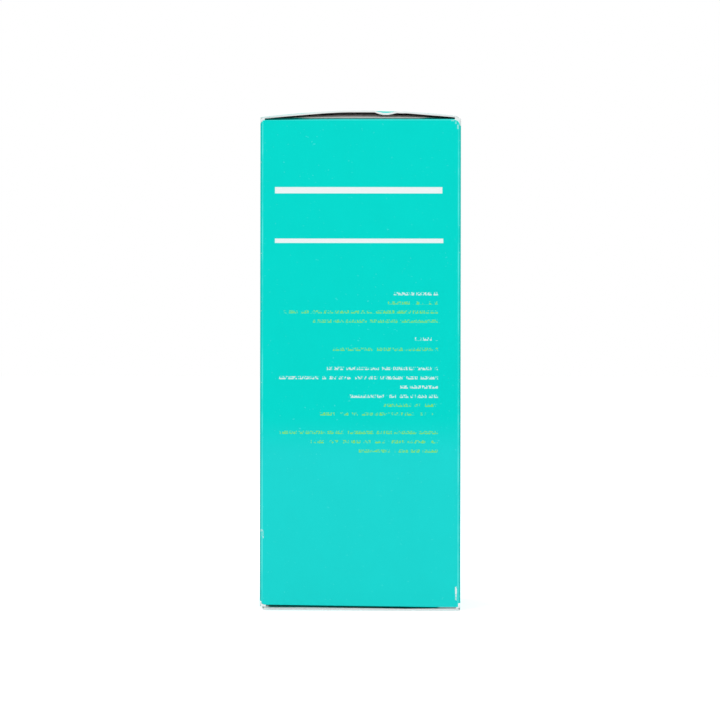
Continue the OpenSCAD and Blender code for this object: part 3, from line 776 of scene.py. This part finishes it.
def leaflet_paint():
    """Thin folded paper with rows of greyed, broken lines."""
    p = Paint("leaflet paper", IOR=1.45, Specular_IOR_Level=0.1)
    fibre = p.noise(1.6, 4.0, 0.65)
    line_pitch = 2.1
    lines = p.z / line_pitch
    row = (lines - lines.floor()).band(0.5, 0.18, 0.08)
    place = p.node("ShaderNodeCombineXYZ", {}, {0: p.x * 0.9, 1: lines.floor() * 5.7, 2: p.y * 3})
    words = p.noise(1.0, 1.0, vector=place).ease(0.42, 0.46)
    margin = p.x.band(-4, 17.5, 0.3) * p.z.band(40, 33, 0.3)
    p.set(Base_Color=p.mix(row * words * margin * 0.5, p.shade(srgb(239, 238, 232), 0.95 + 0.06 * fibre),
                           srgb(92, 94, 98)),
          Roughness=0.9 - 0.05 * fibre, Normal=p.bump(fibre, 0.03, 0.4))
    return p.material


def liner_paint():
    """Foam of the cap's liner, with fine cells."""
    p = Paint("liner foam", IOR=1.4, Specular_IOR_Level=0.2)
    cells = p.noise(4.5, 2.0, 0.7)
    p.set(Base_Color=p.shade(srgb(226, 229, 232), 0.94 + 0.1 * cells), Roughness=0.75 + 0.15 * cells,
          Normal=p.bump(cells, 0.04, 0.5))
    return p.material


def glue_paint():
    """Dried glue of the seam, dragged upwards."""
    p = Paint("seam glue", IOR=1.48, Specular_IOR_Level=0.4)
    drag = p.noise(0.8, 3.0, vector=p.stretched(2.0, 2.0, 0.4))
    p.set(Base_Color=p.shade(srgb(238, 232, 212), 0.9 + 0.15 * drag), Roughness=0.3 + 0.25 * drag,
          Normal=p.bump(drag, 0.06, 0.6))
    return p.material


def glossy_copy(node, name, body, material):
    """A round solid of the frame, merged and shaded smooth so that its reflections flow."""
    bm = merged_copy(node)
    sharp = math.radians(32)
    for edge in bm.edges:
        edge.smooth = edge.calc_face_angle(0.0) < sharp
    return finish_piece(bm, name, body, material, (node,))


white_closure = closure_paint("white closure", srgb(240, 242, 242))
amber = amber_paint()
glossy_copy("bottle", "bottle_skin", "bottle", amber)
glossy_copy("mouthwash", "mouthwash_fill", "bottle", liquid_paint())
dress("cap", white_closure)
dress("tamper_band", white_closure)
dress("cap_liner", liner_paint())
dress("bottle_label", label_paint())
dress("leaflet", leaflet_paint())
dress("seam_glue", glue_paint())


def neck_thread():
    """Thread on the neck: two and a quarter turns, tapered at both ends."""
    bm = bmesh.new()
    low = LIP - 11.85
    lead, turns, steps = 3.0, 2.25, 108
    root_r, crest_r, thin_r = 12.3, 13.55, 12.45
    profile = ((root_r, -1.0), (crest_r, -0.35), (crest_r, 0.35), (root_r, 1.0))
    face = bm.faces.new([bm.verts.new((r, 0, low + z)) for r, z in profile])
    bmesh.ops.spin(bm, geom=[*face.verts, *face.edges, face], cent=(0, 0, 0), axis=(0, 0, 1),
                   dvec=(0, 0, lead * turns / steps), angle=math.radians(360 * turns), steps=steps,
                   use_merge=False, use_duplicate=False)
    bmesh.ops.remove_doubles(bm, verts=bm.verts, dist=1e-5)
    taper, least = 0.12, 0.05
    for v in bm.verts:
        reach = math.hypot(v.co.x, v.co.y)
        if reach > 13:
            along = (v.co.z - low) / lead
            share = min(1.0, max(least, along / taper), max(least, (turns - along) / taper))
            slim = thin_r + (reach - thin_r) * share
            v.co.x *= slim / reach
            v.co.y *= slim / reach
    bmesh.ops.recalc_face_normals(bm, faces=bm.faces)
    return finish_piece(bm, "neck_thread", "bottle", amber)


def band_bridges():
    """Small bridges on the tamper band, where it tears from the cap."""
    bm = bmesh.new()
    band_r, bridges = 14.45, 12
    for i in range(bridges):
        turn = math.radians(360 // bridges * i + 9)
        made = bmesh.ops.create_cube(bm, size=1.0)["verts"]
        bmesh.ops.scale(bm, vec=(0.5, 0.9, 0.24), verts=made)
        bmesh.ops.translate(bm, vec=(band_r, 0, CAP_FOOT - 0.18), verts=made)
        bmesh.ops.rotate(bm, cent=(0, 0, 0), verts=made, matrix=Matrix.Rotation(turn, 3, "Z"))
    return finish_piece(bm, "band_bridges", "bottle", white_closure, smooth=False)


neck_thread()
band_bridges()


# Floor, light and camera

def put(tree, kind, inputs, **settings):
    """A node in a tree, with values or other nodes' outputs on its sockets."""
    node = tree.nodes.new(kind)
    for key, value in settings.items():
        setattr(node, key, value)
    for key, value in inputs.items():
        if isinstance(value, bpy.types.NodeSocket):
            tree.links.new(value, node.inputs[key])
        else:
            node.inputs[key].default_value = value
    return node


def any_ray(tree, *kinds):
    """1 for the named kinds of rays and 0 for all others."""
    rays = put(tree, "ShaderNodeLightPath", {}).outputs
    either, *rest = [rays[kind] for kind in kinds]
    for ray in rest:
        either = put(tree, "ShaderNodeMath", {0: either, 1: ray}, operation="MAXIMUM").outputs[0]
    return either


def stage_look(name, colour, lift):
    """A matt white that keeps its shadow, and is lifted to white for the camera and in reflections."""
    material = bpy.data.materials.new(name)
    material.use_nodes = True
    tree = material.node_tree
    tree.nodes.remove(tree.nodes["Principled BSDF"])
    seen = any_ray(tree, "Is Camera Ray", "Is Glossy Ray", "Is Transmission Ray")
    level = put(tree, "ShaderNodeMath", {0: seen, 1: lift}, operation="MULTIPLY")
    matt = put(tree, "ShaderNodeBsdfDiffuse", {"Color": colour})
    glow = put(tree, "ShaderNodeEmission", {"Strength": level.outputs[0]})
    both = put(tree, "ShaderNodeAddShader", {0: matt.outputs[0], 1: glow.outputs[0]})
    tree.links.new(both.outputs[0], tree.nodes["Material Output"].inputs["Surface"])
    return material


bpy.ops.mesh.primitive_plane_add(size=30, location=(0, 0, -0.0001))
floor = bpy.context.object
floor.name = "floor"
floor.data.materials.append(stage_look("floor", (0.86, 0.87, 0.88, 1), 0.54))

world = bpy.data.worlds.new("studio")
bpy.context.scene.world = world
world.use_nodes = True
sky = world.node_tree
sky.nodes.clear()
seen_through = any_ray(sky, "Is Camera Ray", "Is Transmission Ray")
room = put(sky, "ShaderNodeBackground", {"Color": (0.97, 0.985, 1.0, 1), "Strength": 0.56})
back = put(sky, "ShaderNodeBackground", {"Color": (1, 1, 1, 1), "Strength": 1.0})
choose = put(sky, "ShaderNodeMixShader", {0: seen_through, 1: room.outputs[0], 2: back.outputs[0]})
put(sky, "ShaderNodeOutputWorld", {"Surface": choose.outputs[0]})


def lamp(name, place, aim, size, watts):
    """A square soft light that faces a point."""
    data = bpy.data.lights.new(name, "AREA")
    data.shape = "RECTANGLE"
    data.size, data.size_y = size, size
    data.energy = watts
    light = bpy.data.objects.new(name, data)
    light.location = place
    light.rotation_euler = (Vector(aim) - Vector(place)).to_track_quat("-Z", "Y").to_euler()
    bpy.context.scene.collection.objects.link(light)


lamp("key", (-0.9, -1.3, 1.5), (0, 0, 0.08), 1.0, 12.5)
lamp("fill", (1.2, -1.1, 0.9), (0, 0, 0.07), 0.9, 6)
lamp("top", (0.1, 0.3, 1.8), (0, 0, 0.1), 1.2, 6)

# The camera: how far it has gone round the carton, its tilt sideways, its distance from the front, and its
# shift sideways in millimetres
YAW = math.radians(1.0)
ROLL = math.radians(-0.08)
DISTANCE = 1.1
SHIFT = 0.09
SENSOR = 36
lens = bpy.data.cameras.new("camera")
lens.sensor_width = SENSOR
lens.lens = SENSOR * DISTANCE / (PIXEL * MM * PICTURE)
camera = bpy.data.objects.new("camera", lens)
camera.location = (DISTANCE * math.sin(YAW) - SHIFT * MM,
                   -HALF_D * MM - DISTANCE * math.cos(YAW),
                   EYE_Z * MM)
camera.rotation_euler = (math.radians(90), ROLL, YAW)
bpy.context.scene.collection.objects.link(camera)
bpy.context.scene.camera = camera
bpy.context.scene.view_settings.view_transform = "Standard"
